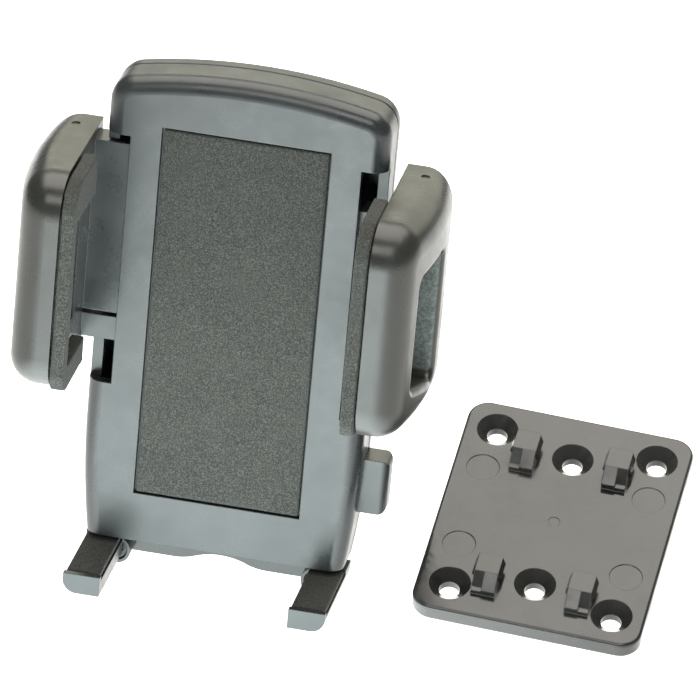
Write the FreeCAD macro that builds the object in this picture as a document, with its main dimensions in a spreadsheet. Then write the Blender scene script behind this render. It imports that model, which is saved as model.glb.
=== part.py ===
import FreeCAD, Part
import Sketcher
import math
import os
import re

# Spring-jaw phone cradle with a separate screw-on plate. Millimetres, +Z up, the phone lies on
# the front (-Y) side. The origin is the middle of the four claw sockets, on the rear face.

doc = FreeCAD.newDocument("phone_mount")
sheet = doc.addObject("Spreadsheet::Sheet", "Sizes")

SIZES = [
    # casing
    ("front_y", -13.6, "front face of the casing"),
    ("seam_y", -5.3, "where front and rear shell meet"),
    ("case_half_w", 25.9, "half width of the casing"),
    ("case_low", -48.0, "underside of the casing"),
    ("case_taper_z", -24.0, "height where the sides begin to draw in"),
    ("case_low_half_w", 24.2, "half width at the underside"),
    ("case_taper_r", 170.0, "radius of the drawn-in sides"),
    ("case_shoulder", 41.8, "height of the arch at the sides"),
    ("case_arch_r", 110.0, "radius of the arched top"),
    ("case_corner_r", 5.0, "upper corners of the outline"),
    ("front_edge_r", 3.0, "rounding of the front edge"),
    ("rear_edge_r", 3.6, "rounding of the rear edge"),
    ("seam_bevel", 0.3, "bevel of both shells along the seam"),
    ("wall", 2.0, "side and rear wall"),
    ("front_wall_y", -11.4, "inner face of the front wall"),
    ("rear_wall_y", -2.0, "inner face of the rear wall"),
    ("notch_x", 21.3, "inner side of the notches"),
    ("notch_low", -17.3, "lower end of the notches"),
    ("notch_high", 31.8, "upper end of the notches"),
    ("notch_y", -10.1, "bottom of the notches"),
    ("recess_half_w", 15.6, "half width of the pad recess"),
    ("recess_low", -38.45, "lower end of the pad recess"),
    ("recess_high", 34.45, "upper end of the pad recess"),
    ("recess_y", -12.4, "bottom of the pad recess"),
    ("foam_gap", 0.3, "gap around each foam pad"),
    ("screw_x", 19.4, "casing screws from the middle"),
    ("screw_high", 36.6, "upper casing screws"),
    ("screw_low", -42.8, "lower casing screws"),
    ("boss_r", 2.9, "casing screw bosses"),
    ("pilot_r", 0.95, "pilot holes of the casing screws"),
    ("screw_r", 1.0, "thread of the casing screws"),
    ("screw_clear_r", 1.2, "clearance holes of the casing screws"),
    ("screw_head_r", 2.0, "heads of the casing screws"),
    ("screw_sink_r", 2.2, "counterbores of the casing screws"),
    ("screw_sink_y", -2.4, "floor of the counterbores"),
    # claw sockets
    ("socket_x", 8.7, "claw sockets from the middle"),
    ("socket_z", 15.2, "claw sockets above and below the middle"),
    ("entry_half_w", 3.2, "half width of a socket's entry"),
    ("slot_half_w", 2.35, "half width of a socket's slot"),
    ("entry_drop", 11.0, "entry's lower end below the socket's middle"),
    ("slot_drop", 1.9, "slot's lower end below the socket's middle"),
    ("slot_rise", 2.6, "slot's upper end above the socket's middle"),
    ("lip_y", -1.25, "inner face of the lip a claw hooks behind"),
    ("pocket_y", -3.55, "floor of a socket's pocket"),
    ("block_y", -4.55, "inner face of a socket's block"),
    ("block_wall", 0.9, "walls of a socket's block"),
    # arms and racks
    ("arm_y", -11.0, "front of the arms"),
    ("arm_back_y", -8.4, "rear of the arm plates in the casing"),
    ("arm_deep_y", -5.6, "rear of the arms outside the casing"),
    ("rack_y", -8.0, "front of racks, pinion and pawl"),
    ("deep_x", 21.5, "where an arm gets its full depth"),
    ("arm_end_x", 5.5, "inner end of the arm plates"),
    ("bar_end_x", 12.0, "inner end of the narrow left bar"),
    ("left_plate_low", -4.4, "left plate's lower edge"),
    ("left_plate_high", 29.1, "left plate's upper edge"),
    ("left_bar_low", -9.8, "left bar's lower edge"),
    ("left_bar_high", -5.2, "left bar's upper edge"),
    ("right_plate_low", -15.0, "right plate's lower edge"),
    ("right_plate_high", 13.4, "right plate's upper edge"),
    ("right_bar_low", 18.65, "right bar's lower edge"),
    ("right_bar_high", 23.0, "right bar's upper edge"),
    ("arm_gap", 0.3, "gap of the arms in their slots"),
    ("rack_far_x", 20.0, "free end of a rack past the middle"),
    ("rack_depth", 2.35, "rack from its root line to its back"),
    ("tooth_module", 1.0, "module of racks and pinion"),
    ("pinion_teeth", 12, "teeth of the pinion"),
    ("pinion_z", 7.0, "height of the pinion's axis"),
    ("rack_addendum", 0.6, "rack tooth above the pitch line"),
    ("rack_dedendum", 1.1, "rack tooth below the pitch line"),
    ("pinion_addendum", 0.9, "pinion tooth outside the pitch circle"),
    ("pinion_dedendum", 0.85, "pinion tooth inside the pitch circle"),
    ("backlash", 0.16, "play between the flanks"),
    ("ratchet_pitch", 1.6, "ratchet teeth under the left rack"),
    ("ratchet_depth", 0.8, "depth of the ratchet teeth"),
    # jaws
    ("jaw_x", 28.2, "inner face of the jaws"),
    ("cover_x", 30.0, "floor of the seat in a jaw's cover"),
    ("seat_rim", 1.5, "rim of the cover around the arm's wall"),
    ("seat_gap", 0.1, "gap between that rim and the wall"),
    ("jaw_front_y", -38.6, "front of the jaws"),
    ("jaw_rear_y", -4.6, "rear of the jaws"),
    ("jaw_low", -10.5, "underside of the jaws"),
    ("jaw_high", 31.0, "top of the jaws"),
    ("jaw_nose_x", 35.0, "outer side of the jaws at the front"),
    ("jaw_tail_x", 37.15, "outer side of the jaws at the rear"),
    ("jaw_crown_r", 80.0, "crown of the jaws' outer side"),
    ("jaw_nose_r", 7.5, "upper front rounding of the jaws"),
    ("jaw_chin_r", 7.0, "lower front rounding of the jaws"),
    ("jaw_edge_r", 5.5, "outer edges of the jaws"),
    ("hollow_x", 33.4, "outer end of a cover's hollow"),
    ("hollow_front_y", -34.0, "front of the hollow"),
    ("hollow_rear_y", -7.0, "rear of the hollow"),
    ("hollow_low", -8.4, "floor of the hollow"),
    ("hollow_high", 28.4, "ceiling of the hollow"),
    ("hollow_slant", 5.0, "slanted upper front of the hollow"),
    ("hollow_chin", 3.0, "slanted lower front of the hollow"),
    ("panel_front_y", -32.0, "front edge of the slanted panel behind the window"),
    ("panel_rear_y", -8.0, "rear edge of that panel"),
    ("panel_x", 33.0, "outer side of that panel at its rear edge"),
    ("panel_low", -7.4, "lower edge of that panel"),
    ("panel_high", 22.0, "upper edge of that panel"),
    ("inlet_x", 29.3, "floor of the shallow inlet in a jaw's inner wall"),
    ("inlet_front_y", -34.6, "front edge of the inlet"),
    ("inlet_rear_y", -19.5, "rear edge of the inlet"),
    ("inlet_low", -2.6, "lower edge of the inlet"),
    ("inlet_high", 20.2, "upper edge of the inlet"),
    ("window_front_y", -30.9, "front edge of the window"),
    ("window_rear_y", -15.8, "rear edge of the window"),
    ("window_front_low", -1.5, "window's lower front corner"),
    ("window_front_high", 20.3, "window's upper front corner"),
    ("window_rear_low", -5.0, "window's lower rear corner"),
    ("window_rear_high", 20.4, "window's upper rear corner"),
    ("window_corner_r", 1.8, "corners of the window"),
    ("window_rim_r", 1.4, "rounded rim of the window"),
    ("jaw_gate_x", 32.3, "moulding dimple on top of the jaws"),
    ("jaw_gate_y", -9.4, "moulding dimple on top of the jaws"),
    ("jaw_gate_r", 0.8, "moulding dimple on top of the jaws"),
    ("jaw_gate_depth", 0.25, "moulding dimple on top of the jaws"),
    ("pad_x", 25.3, "inner face of the jaw pads"),
    ("pad_front_y", -38.4, "front of the jaw pads"),
    ("pad_strip_y", -35.6, "rear of a jaw pad's front strip"),
    ("pad_lobe_y", -21.6, "rear end of a jaw pad's lobes"),
    ("pad_low", -10.0, "lower edge of the jaw pads"),
    ("pad_low_lobe", -5.0, "upper edge of the lower lobe"),
    ("pad_high_lobe", 23.0, "lower edge of the upper lobe"),
    ("pad_high", 30.8, "upper edge of the jaw pads"),
    ("pad_nose", 5.2, "slanted upper front of the jaw pads"),
    ("pad_chin", 3.0, "slanted lower front of the jaw pads"),
    # button, pawl and springs
    ("button_x", 30.6, "outer face of the button"),
    ("button_low", -37.2, "button's lower edge"),
    ("button_high", -26.5, "button's upper edge"),
    ("button_y", -9.1, "front of the button"),
    ("button_back_y", -3.6, "rear of the button"),
    ("button_gap", 0.2, "gap around the button"),
    ("button_edge_r", 1.5, "outer edges of the button"),
    ("flange_x", 21.6, "inner face of the button's flange"),
    ("flange_back_x", 22.9, "outer face of the button's flange"),
    ("flange_rim", 1.0, "flange beyond the button"),
    ("stem_x", 2.0, "inner end of the button's stem"),
    ("stem_z", -31.8, "height of the stem's axis"),
    ("stem_y", -6.8, "depth of the stem's axis"),
    ("stem_half", 1.0, "half thickness of the stem"),
    ("coil_r", 1.85, "button spring's coil radius"),
    ("coil_wire_r", 0.2, "button spring's wire"),
    ("rib_x", 12.4, "rib the button spring bears on"),
    ("rib_thick", 1.2, "thickness of that rib"),
    ("rib_half_h", 4.0, "half height of that rib"),
    ("post_r", 2.15, "post the pinion turns on"),
    ("pinion_bore_r", 2.2, "pinion's bore"),
    ("post_end_y", -7.02, "end of the post"),
    ("sink_y", -6.95, "floor of the pinion's counterbore"),
    ("sink_r", 3.2, "pinion's counterbore"),
    ("pinion_head_r", 2.9, "head of the pinion's screw"),
    ("drive_r", 3.1, "drive spring's coil radius"),
    ("drive_wire_r", 0.3, "drive spring's wire"),
    ("pivot_z", -16.0, "height of the pawl's axis"),
    ("pin_r", 1.2, "pawl pin"),
    ("pin_bore_r", 1.25, "pawl's bore"),
    ("pin_hole_r", 1.18, "pin's hole in the boss"),
    ("pin_boss_r", 2.4, "boss of the pawl pin"),
    ("pawl_hub_r", 2.6, "pawl's hub"),
    ("pawl_tip_x", 7.2, "pawl's tip from its axis"),
    ("pawl_tip_z", -3.6, "pawl's tip"),
    ("pawl_half", 1.4, "half width of the pawl's lower arm"),
    ("pawl_low", -33.2, "lower end of the pawl"),
    # tray and feet
    ("tray_y", -4.2, "front of the tray"),
    ("tray_back_y", -2.2, "rear of the tray"),
    ("tray_half_w", 14.0, "half width of the tray"),
    ("tray_top", -28.0, "upper edge of the tray"),
    ("tray_neck", -48.6, "where the tray widens below the casing"),
    ("tray_low", -54.5, "lower edge of the tray"),
    ("scallop_top", -52.8, "top of the finger scallop"),
    ("scallop_r", 13.0, "radius of the finger scallop"),
    ("lobe_r", 11.0, "radius that leads out of the scallop"),
    ("tray_gap", 0.2, "gap of the tray in its slot"),
    ("guide_thick", 1.4, "ribs that guide the tray"),
    ("guide_top", -32.0, "upper end of those ribs"),
    ("groove_first", -29.6, "uppermost groove for the leaf spring"),
    ("groove_step", 3.0, "from one groove to the next"),
    ("groove_depth", 0.4, "depth of the grooves"),
    ("groove_half_w", 3.0, "half width of the grooves"),
    ("leaf_half_w", 10.2, "half length of the leaf spring"),
    ("leaf_foot_x", 8.6, "where the leaf spring starts to bend"),
    ("leaf_low", -42.5, "lower edge of the leaf spring"),
    ("leaf_high", -39.5, "upper edge of the leaf spring"),
    ("leaf_front_y", -5.35, "front of the leaf spring at its ends"),
    ("leaf_rise", 0.6, "how far the leaf spring bends to the tray"),
    ("leaf_thick", 0.25, "thickness of the leaf spring"),
    ("leaf_nose", 0.25, "nose of the leaf spring"),
    ("leaf_rib_x", 9.0, "inner side of the ribs the leaf rests on"),
    ("leaf_rib_w", 1.4, "width of those ribs"),
    ("hub_x", 18.7, "feet's axes from the middle"),
    ("hub_z", -52.6, "height of the feet's axes"),
    ("hub_r", 2.6, "hubs of the feet"),
    ("hub_front_y", -9.2, "front of the hubs"),
    ("hub_back_y", -4.6, "rear of the hubs"),
    ("hub_sink_r", 2.0, "counterbores of the hubs"),
    ("hub_sink_y", -7.6, "floor of the counterbores"),
    ("hub_bore_r", 1.18, "bores of the hubs"),
    ("foot_screw_r", 1.12, "thread of the foot screws"),
    ("foot_pilot_r", 1.07, "pilot holes of the foot screws"),
    ("foot_head_r", 1.85, "heads of the foot screws"),
    ("foot_in_x", 17.6, "inner side of the feet"),
    ("foot_out_x", 24.5, "outer side of the feet"),
    ("foot_front_y", -29.1, "front of the feet"),
    ("foot_rear_y", -4.8, "rear of the feet"),
    ("foot_top", -49.2, "top of the feet"),
    ("foot_floor", -50.2, "floor of the feet's recess"),
    ("foot_low", -53.0, "underside of the feet"),
    ("foot_edge_r", 2.6, "outer lower edge of the feet"),
    ("foot_lip", 1.2, "lip in front of the feet's foam"),
    # mounting plate, in its own frame
    ("plate_half_w", 21.3, "half width of the plate"),
    ("plate_half_h", 25.6, "half height of the plate"),
    ("plate_thick", 3.5, "thickness of the plate"),
    ("plate_corner_r", 4.0, "corners of the plate"),
    ("plate_edge_r", 0.8, "edges of the plate"),
    ("hole_x", 15.085, "corner screw holes from the middle"),
    ("hole_z", 19.025, "corner screw holes above and below"),
    ("mid_hole_z", 15.38, "middle screw holes"),
    ("hole_r", 1.9, "screw holes"),
    ("hole_sink_r", 3.85, "countersinks of the screw holes"),
    ("claw_half_w", 2.0, "half width of a claw's neck"),
    ("claw_head_half_w", 2.75, "half width of a claw's head"),
    ("claw_top_half_w", 2.2, "half width of a claw's top"),
    ("claw_half_h", 2.25, "half height of a claw"),
    ("claw_neck", 1.4, "height of a claw's neck"),
    ("claw_high", 3.3, "height of a claw"),
    ("claw_edge_r", 0.6, "upright edges of a claw's head"),
    ("claw_ramp", 2.9, "how far a claw's ramp runs out"),
    ("claw_base", 1.3, "height of the ramp's front face"),
    ("claw_split", 0.3, "where the ramp's steep part begins beside the claw's middle"),
    ("ejector_x", 15.6, "round marks from the middle"),
    ("ejector_z", 9.5, "round marks above and below"),
    ("ejector_r", 3.05, "round marks"),
    ("ejector_depth", 0.15, "depth of the round marks"),
    ("gate_r", 1.1, "dimple in the middle of the plate"),
    ("gate_depth", 0.08, "depth of that dimple"),
    ("plate_at_x", 61.3, "plate's position beside the cradle"),
    ("plate_at_y", -4.2, "plate's position beside the cradle"),
    ("plate_at_z", -37.7, "plate's position beside the cradle"),
    ("plate_yaw", -1.0, "plate's turn about the vertical in degrees"),
    ("plate_roll", 2.06, "plate's sideways lean in degrees"),
    ("plate_tilt", 24.6, "plate's backward lean in degrees"),
]

for row, (alias, value, meaning) in enumerate(SIZES, start=1):
    sheet.set("A%d" % row, alias)
    sheet.set("B%d" % row, str(value))
    sheet.set("C%d" % row, meaning)
    sheet.setAlias("B%d" % row, alias)
doc.recompute()

ALIASES = {alias for alias, value, meaning in SIZES}
NORMAL_SIGN = {"XY": 1, "XZ": -1, "YZ": 1}


def bound(text):
    """Expression text with each size's alias written as a cell of the sheet."""
    return re.sub(r"[a-z][a-z_]*", lambda found: "Sizes." + found.group(0)
                  if found.group(0) in ALIASES else found.group(0), str(text))


def value_of(text):
    """Number that an expression in the sheet's aliases gives."""
    return float(sheet.evalExpression(bound(text)))


def drive(profile, kind, *where, size):
    """Constrain one point or radius of a sketch and bind it to the sheet."""
    index = profile.addConstraint(Sketcher.Constraint(kind, *where, value_of(size)))
    profile.setExpression("Constraints[%d]" % index, bound(size))


def draw_outline(profile, vertices):
    """Closed outline; a vertex's third entry is the radius of the arc that starts there."""
    spots = [FreeCAD.Vector(value_of(v[0]), value_of(v[1]), 0) for v in vertices]
    edges = []
    for index, vertex in enumerate(vertices):
        start = spots[index]
        end = spots[(index + 1) % len(spots)]
        if len(vertex) == 2:
            geometry = profile.addGeometry(Part.LineSegment(start, end))
            edges.append((geometry, 1, 2))
            continue
        radius = value_of(vertex[2])
        chord = end - start
        across = FreeCAD.Vector(-chord.y, chord.x, 0).normalize()
        reach = math.sqrt(radius ** 2 - (chord.Length / 2) ** 2)
        centre = (start + end) * 0.5 + across * math.copysign(reach, radius)
        middle = centre - across * radius
        geometry = profile.addGeometry(Part.Arc(start, middle, end))
        if radius > 0:
            edges.append((geometry, 1, 2))
        else:
            edges.append((geometry, 2, 1))
    for index, (geometry, head, tail) in enumerate(edges):
        following, next_head, _ = edges[(index + 1) % len(edges)]
        profile.addConstraint(Sketcher.Constraint("Coincident", geometry, tail, following, next_head))
    for (geometry, head, _), vertex in zip(edges, vertices):
        drive(profile, "DistanceX", -1, 1, geometry, head, size=vertex[0])
        drive(profile, "DistanceY", -1, 1, geometry, head, size=vertex[1])
        if len(vertex) == 3:
            drive(profile, "Radius", geometry, size="abs(%s)" % vertex[2])


def draw_circle(profile, across, up, radius):
    centre = FreeCAD.Vector(value_of(across), value_of(up), 0)
    circle = Part.Circle(centre, FreeCAD.Vector(0, 0, 1), value_of(radius))
    geometry = profile.addGeometry(circle)
    drive(profile, "DistanceX", -1, 1, geometry, 3, size=across)
    drive(profile, "DistanceY", -1, 1, geometry, 3, size=up)
    drive(profile, "Radius", geometry, size=radius)


def new_body(name):
    part = doc.addObject("PartDesign::Body", name)
    part.Label = name
    return part


def new_sketch(part, name, plane, level):
    """Sketch parallel to a base plane at a level given along the row's own axis."""
    profile = part.newObject("Sketcher::SketchObject", name + "_profile")
    role = plane + "_Plane"
    support = [feature for feature in part.Origin.OriginFeatures if feature.Role == role][0]
    profile.AttachmentSupport = [(support, "")]
    profile.MapMode = "FlatFace"
    profile.setExpression("AttachmentOffset.Base.z", bound("%d * (%s)" % (NORMAL_SIGN[plane], level)))
    return profile


def extrude(part, kind, name, plane, start, end, outlines=(), circles=()):
    """Pad or Pocket from one level to another along the plane's normal."""
    profile = new_sketch(part, name, plane, start)
    for vertices in outlines:
        draw_outline(profile, vertices)
    for circle in circles:
        draw_circle(profile, *circle)
    feature = part.newObject("PartDesign::" + kind, name)
    feature.Profile = profile
    feature.setExpression("Length", bound("abs((%s) - (%s))" % (end, start)))
    along_normal = (value_of(end) > value_of(start)) == (NORMAL_SIGN[plane] > 0)
    feature.Reversed = along_normal if kind == "Pocket" else not along_normal
    part.Tip = feature
    profile.Visibility = False
    return feature


def pad(part, name, plane, start, end, outlines=(), circles=()):
    return extrude(part, "Pad", name, plane, start, end, outlines, circles)


def pocket(part, name, plane, start, end, outlines=(), circles=()):
    return extrude(part, "Pocket", name, plane, start, end, outlines, circles)


def rectangle(low_a, high_a, low_b, high_b):
    return [(low_a, low_b), (high_a, low_b), (high_a, high_b), (low_a, high_b)]


def soften(part, name, radius, chosen, kind="Fillet"):
    """Round (or chamfer) every edge of the part so far that the test picks."""
    doc.recompute()
    base = part.Tip
    picked = ["Edge%d" % number for number, edge in enumerate(base.Shape.Edges, start=1)
              if chosen(edge)]
    feature = part.newObject("PartDesign::" + kind, name)
    feature.Base = (base, picked)
    feature.setExpression("Radius" if kind == "Fillet" else "Size", bound(radius))
    part.Tip = feature
    return feature


def is_near(one, other):
    return abs(one - other) < 0.01


def runs_along(edge, axis):
    """Straight edge parallel to X, Y or Z."""
    if edge.Curve.TypeId != "Part::GeomLine":
        return False
    return is_near(abs(getattr(edge.Curve.Direction, axis)), 1.0)


def lies_at(edge, axis, level):
    """Edge that lies wholly at one level of an axis."""
    box = edge.BoundBox
    level = value_of(level)
    return (is_near(getattr(box, axis + "Min"), level)
            and is_near(getattr(box, axis + "Max"), level))


def casing_outline(inset):
    """Outline of the casing, seen from the front, drawn in by an inset."""
    half = "(case_half_w - %s)" % inset
    low_half = "(case_low_half_w - %s)" % inset
    low = "case_low + %s" % inset
    shoulder = "case_shoulder - %s" % inset
    return [
        ("-" + low_half, low),
        (low_half, low, "case_taper_r"),
        (half, "case_taper_z"),
        (half, shoulder, "case_arch_r"),
        ("-" + half, shoulder),
        ("-" + half, "case_taper_z", "case_taper_r"),
    ]


def round_casing(part, face_y, edge_radius):
    """Upper corners, then the edge of the outer face except along the underside."""
    corner_z = value_of("case_shoulder")
    soften(part, part.Name + "_corners", "case_corner_r",
           lambda edge: runs_along(edge, "y") and is_near(edge.BoundBox.ZMin, corner_z))
    underside = value_of("case_low")
    soften(part, part.Name + "_edge", edge_radius,
           lambda edge: lies_at(edge, "Y", face_y) and edge.BoundBox.ZMax > underside + 1.0)
    soften(part, part.Name + "_seam", "seam_bevel", lambda edge: lies_at(edge, "Y", "seam_y"),
           kind="Chamfer")


def casing_screw_spots():
    return [(side + "screw_x", level) for side in ("", "-") for level in ("screw_high", "screw_low")]


def arm_slot(side):
    """Slot in the side wall for one jaw's arms."""
    if side < 0:
        low, high = "left_bar_low", "left_plate_high"
    else:
        low, high = "right_plate_low", "right_bar_high"
    edges = sorted(("%d * (case_half_w + 1)" % side, "%d * (case_half_w - wall - 0.5)" % side),
                   key=value_of)
    return rectangle(edges[0], edges[1], low + " - arm_gap", high + " + arm_gap")


def build_front_shell():
    part = new_body("front_shell")
    pad(part, "front_block", "XZ", "seam_y", "front_y", [casing_outline("0")])
    round_casing(part, "front_y", "front_edge_r")
    pocket(part, "front_hollow", "XZ", "seam_y", "front_wall_y", [casing_outline("wall")])
    pocket(part, "pad_recess", "XZ", "front_y", "recess_y",
           [rectangle("-recess_half_w", "recess_half_w", "recess_low", "recess_high")])
    notches = [rectangle("notch_x", "case_half_w + 2", "notch_low", "notch_high"),
               rectangle("-case_half_w - 2", "-notch_x", "notch_low", "notch_high")]
    pocket(part, "notches", "XZ", "front_y", "notch_y", notches)
    pocket(part, "arm_slots", "XZ", "seam_y", "front_wall_y", [arm_slot(-1), arm_slot(1)])
    pocket(part, "button_slot", "XZ", "seam_y", "button_y - button_gap",
           [rectangle("case_half_w - wall - 1", "case_half_w + 1",
                      "button_low - button_gap", "button_high + button_gap")])
    pad(part, "front_bosses", "XZ", "seam_y", "front_wall_y - 0.2",
        circles=[(x, z, "boss_r") for x, z in casing_screw_spots()])
    pocket(part, "front_pilots", "XZ", "seam_y", "front_wall_y + 0.4",
           circles=[(x, z, "pilot_r") for x, z in casing_screw_spots()])
    pad(part, "spring_rib", "XZ", "stem_y + 1.9", "front_wall_y - 0.2",
        [rectangle("rib_x - rib_thick", "rib_x", "stem_z - rib_half_h", "stem_z + rib_half_h")])
    pocket(part, "rib_notch", "XZ", "stem_y + 1.9", "stem_y - stem_half - 0.2",
           [rectangle("rib_x - rib_thick - 1", "rib_x + 1",
                      "stem_z - stem_half - 0.3", "stem_z + stem_half + 0.3")])
    leaf_ribs = [rectangle("leaf_rib_x", "leaf_rib_x + leaf_rib_w", "leaf_low - 0.5", "leaf_high + 0.5"),
                 rectangle("-leaf_rib_x - leaf_rib_w", "-leaf_rib_x", "leaf_low - 0.5", "leaf_high + 0.5")]
    pad(part, "leaf_ribs", "XZ", "seam_y - 0.2", "front_wall_y - 0.2", leaf_ribs)
    return part


def socket_spots():
    return [(side + "socket_x", level + "socket_z") for side in ("", "-") for level in ("", "-")]


def build_rear_shell():
    part = new_body("rear_shell")
    pad(part, "rear_block", "XZ", "seam_y", "0", [casing_outline("0")])
    round_casing(part, "0", "rear_edge_r")
    pocket(part, "rear_hollow", "XZ", "seam_y", "rear_wall_y", [casing_outline("wall")])
    blocks = []
    entries = []
    slots = []
    pockets = []
    for x, z in socket_spots():
        low = z + " - entry_drop"
        high = z + " + slot_rise"
        blocks.append(rectangle(x + " - entry_half_w - block_wall", x + " + entry_half_w + block_wall",
                                low + " - block_wall", high + " + block_wall"))
        entries.append(rectangle(x + " - entry_half_w", x + " + entry_half_w",
                                 low, z + " - slot_drop"))
        slots.append(rectangle(x + " - slot_half_w", x + " + slot_half_w",
                               z + " - slot_drop - 0.5", high))
        pockets.append(rectangle(x + " - entry_half_w", x + " + entry_half_w", low, high))
    pad(part, "socket_blocks", "XZ", "rear_wall_y + 0.2", "block_y", blocks)
    pocket(part, "socket_pockets", "XZ", "lip_y", "pocket_y", pockets)
    pocket(part, "socket_entries", "XZ", "0", "lip_y - 0.1", entries)
    pocket(part, "socket_slots", "XZ", "0", "lip_y - 0.1", slots)
    pad(part, "rear_bosses", "XZ", "rear_wall_y + 0.2", "seam_y",
        circles=[(x, z, "boss_r") for x, z in casing_screw_spots()])
    pocket(part, "rear_screw_holes", "XZ", "seam_y", "0",
           circles=[(x, z, "screw_clear_r") for x, z in casing_screw_spots()])
    pocket(part, "rear_screw_sinks", "XZ", "0", "screw_sink_y",
           circles=[(x, z, "screw_sink_r") for x, z in casing_screw_spots()])
    pad(part, "pinion_post", "XZ", "rear_wall_y + 0.2", "post_end_y",
        circles=[("0", "pinion_z", "post_r")])
    pocket(part, "pinion_pilot", "XZ", "post_end_y", "rear_wall_y + 0.8",
           circles=[("0", "pinion_z", "pilot_r")])
    pad(part, "pawl_boss", "XZ", "rear_wall_y + 0.2", "arm_deep_y + 0.2",
        circles=[("0", "pivot_z", "pin_boss_r")])
    pocket(part, "pawl_pin_hole", "XZ", "arm_deep_y + 0.2", "rear_wall_y + 0.8",
           circles=[("0", "pivot_z", "pin_hole_r")])
    pocket(part, "rear_button_slot", "XZ", "seam_y", "button_back_y + button_gap",
           [rectangle("case_half_w - wall - 1", "case_half_w + 1",
                      "button_low - button_gap", "button_high + button_gap")])
    pocket(part, "tray_slot", "XY", "case_low", "case_low + wall + 0.5",
           [rectangle("-tray_half_w - tray_gap", "tray_half_w + tray_gap",
                      "tray_y - tray_gap", "tray_back_y + tray_gap")])
    inner = "tray_half_w + tray_gap"
    outer = "tray_half_w + tray_gap + guide_thick"
    guides = [rectangle(inner, outer, "case_low + 1", "guide_top"),
              rectangle("-(%s)" % outer, "-(%s)" % inner, "case_low + 1", "guide_top")]
    pad(part, "tray_guides", "XZ", "rear_wall_y + 0.2", "tray_y - tray_gap", guides)
    return part


def build_front_pad():
    part = new_body("front_pad")
    pad(part, "foam_sheet", "XZ", "recess_y - 0.05", "front_y + 0.1",
        [rectangle("-recess_half_w + foam_gap", "recess_half_w - foam_gap",
                   "recess_low + foam_gap", "recess_high - foam_gap")])
    return part


def rack_outline(side):
    """One rack with its teeth toward the pinion; side -1 is the lower rack of the left jaw."""
    pitch = math.pi * value_of("tooth_module")
    slope = math.tan(math.radians(20))
    addendum = value_of("rack_addendum")
    dedendum = value_of("rack_dedendum")
    half = pitch / 4 - value_of("backlash") / 2
    centre = value_of("pinion_z")
    line = value_of("tooth_module * pinion_teeth / 2")
    root = line + dedendum
    tip = line - addendum
    back = root + value_of("rack_depth")
    far = value_of("rack_far_x")
    near = value_of("deep_x") + 0.5
    # along: distance past the middle on the free side; down: distance from the pinion's axis
    points = [(-near, back), (-near, root)]
    for number in range(-3, 6):
        middle = (number + 0.5) * pitch
        points.append((middle - half - dedendum * slope, root))
        points.append((middle - half + addendum * slope, tip))
        points.append((middle + half - addendum * slope, tip))
        points.append((middle + half + dedendum * slope, root))
    points.append((far, root))
    points.append((far, back))
    return [(str(round(-side * along, 4)), str(round(centre + side * down, 4)))
            for along, down in points]


def jaw_outline(inset):
    """Outline of a jaw, seen from the side, drawn in by an inset."""
    front = "jaw_front_y + %s" % inset
    rear = "jaw_rear_y - %s" % inset
    low = "jaw_low + %s" % inset
    high = "jaw_high - %s" % inset
    return [
        ("jaw_front_y + jaw_chin_r", low),
        (rear, low),
        (rear, high),
        ("jaw_front_y + jaw_nose_r", high, "jaw_nose_r - %s" % inset),
        (front, "jaw_high - jaw_nose_r"),
        (front, "jaw_low + jaw_chin_r", "jaw_chin_r - %s" % inset),
    ]


def mirrored(side, inner, outer):
    """Two distances from the middle as a low and a high X on one side."""
    return sorted(("%d * (%s)" % (side, inner), "%d * (%s)" % (side, outer)), key=value_of)


def build_arm(name, side):
    """Inner wall of a jaw, the two arms that slide in the casing and the rack."""
    part = new_body(name)
    pad(part, name + "_wall", "YZ", "%d * jaw_x" % side, "%d * cover_x" % side,
        [jaw_outline("(seat_rim + seat_gap)")])
    panel = [("%d * (cover_x - 0.2)" % side, "panel_front_y"),
             ("%d * panel_x" % side, "panel_rear_y"),
             ("%d * (cover_x - 0.2)" % side, "panel_rear_y")]
    pad(part, name + "_panel", "XY", "panel_low", "panel_high", [panel])
    pocket(part, name + "_inlet", "YZ", "%d * jaw_x" % side, "%d * inlet_x" % side,
           [rectangle("inlet_front_y", "inlet_rear_y", "inlet_low", "inlet_high")])
    if side < 0:
        bands = [("left_plate_low", "left_plate_high", "arm_end_x"),
                 ("left_bar_low", "left_bar_high", "bar_end_x")]
        own_low, own_high = RACK_BANDS["left"]
        far_low, far_high = RACK_BANDS["right"]
        web_low, web_high = str(own_low + 0.1), "left_plate_low + 3.2"
    else:
        bands = [("right_plate_low", "right_plate_high", "arm_end_x"),
                 ("right_bar_low", "right_bar_high", "arm_end_x")]
        own_low, own_high = RACK_BANDS["right"]
        far_low, far_high = RACK_BANDS["left"]
        web_low, web_high = "right_bar_low", str(own_high - 0.1)
    plates = []
    thick = []
    for low, high, end in bands:
        plates.append(rectangle(*mirrored(side, end, "jaw_x"), low, high))
        thick.append(rectangle(*mirrored(side, "deep_x", "jaw_x"), low, high))
    pad(part, name + "_plates", "XZ", "arm_back_y", "arm_y", plates)
    pad(part, name + "_depth", "XZ", "arm_deep_y", "arm_y + 1", thick)
    pocket(part, name + "_channel", "XZ", "arm_deep_y", "arm_back_y",
           [rectangle(*mirrored(side, "deep_x - 1", "cover_x - 3.2"),
                      str(far_low - 0.5), str(far_high + 0.5))])
    pad(part, name + "_rack", "XZ", "arm_deep_y", "rack_y", [rack_outline(side)])
    pad(part, name + "_web", "XZ", "rack_y + 0.5", "arm_back_y - 0.3",
        [rectangle(*mirrored(side, "arm_end_x", "deep_x + 0.5"), web_low, web_high)])
    if side < 0:
        cut_ratchet(part, own_low)
    return part


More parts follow.
